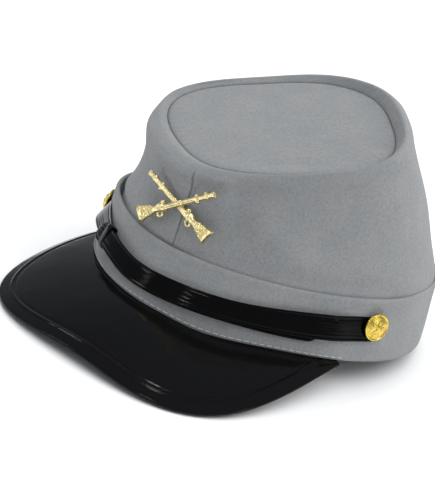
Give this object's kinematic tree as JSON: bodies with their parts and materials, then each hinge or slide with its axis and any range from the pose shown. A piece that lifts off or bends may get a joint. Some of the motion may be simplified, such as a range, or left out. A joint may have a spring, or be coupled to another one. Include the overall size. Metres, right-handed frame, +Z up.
{
  "type": "kepi cap",
  "caption": "Grey cloth kepi with a forward-leaning round top, a cloth band, a glossy black visor, a lapped chin strap with side buttons, and a crossed-rifles badge.",
  "frame": {"origin": "the middle of the cap's footprint on the flat surface it rests on", "axes": "+Z up, -Y towards the visor, +X the wearer's left; the cap tips back as it does on a table, on its visor and the back of its band"},
  "size_m": [0.1854, 0.2448, 0.1249],
  "materials": {
    "grey_cloth": "felted grey wool-blend cloth, matt, with a fine nap",
    "black_gloss": "patent black coated sheet, high gloss",
    "brass": "polished yellow brass plating",
    "gold_badge": "pale gold plating on a stamped badge"
  },
  "bodies": {
    "root": {"band": "grey_cloth", "crown_side": "grey_cloth", "crown_top": "grey_cloth", "visor": "black_gloss", "strap_inner": "black_gloss", "strap_outer": "black_gloss", "strap_keeper": "black_gloss", "button_left": "brass", "button_right": "brass", "badge": "gold_badge"}
  },
  "joints": []
}
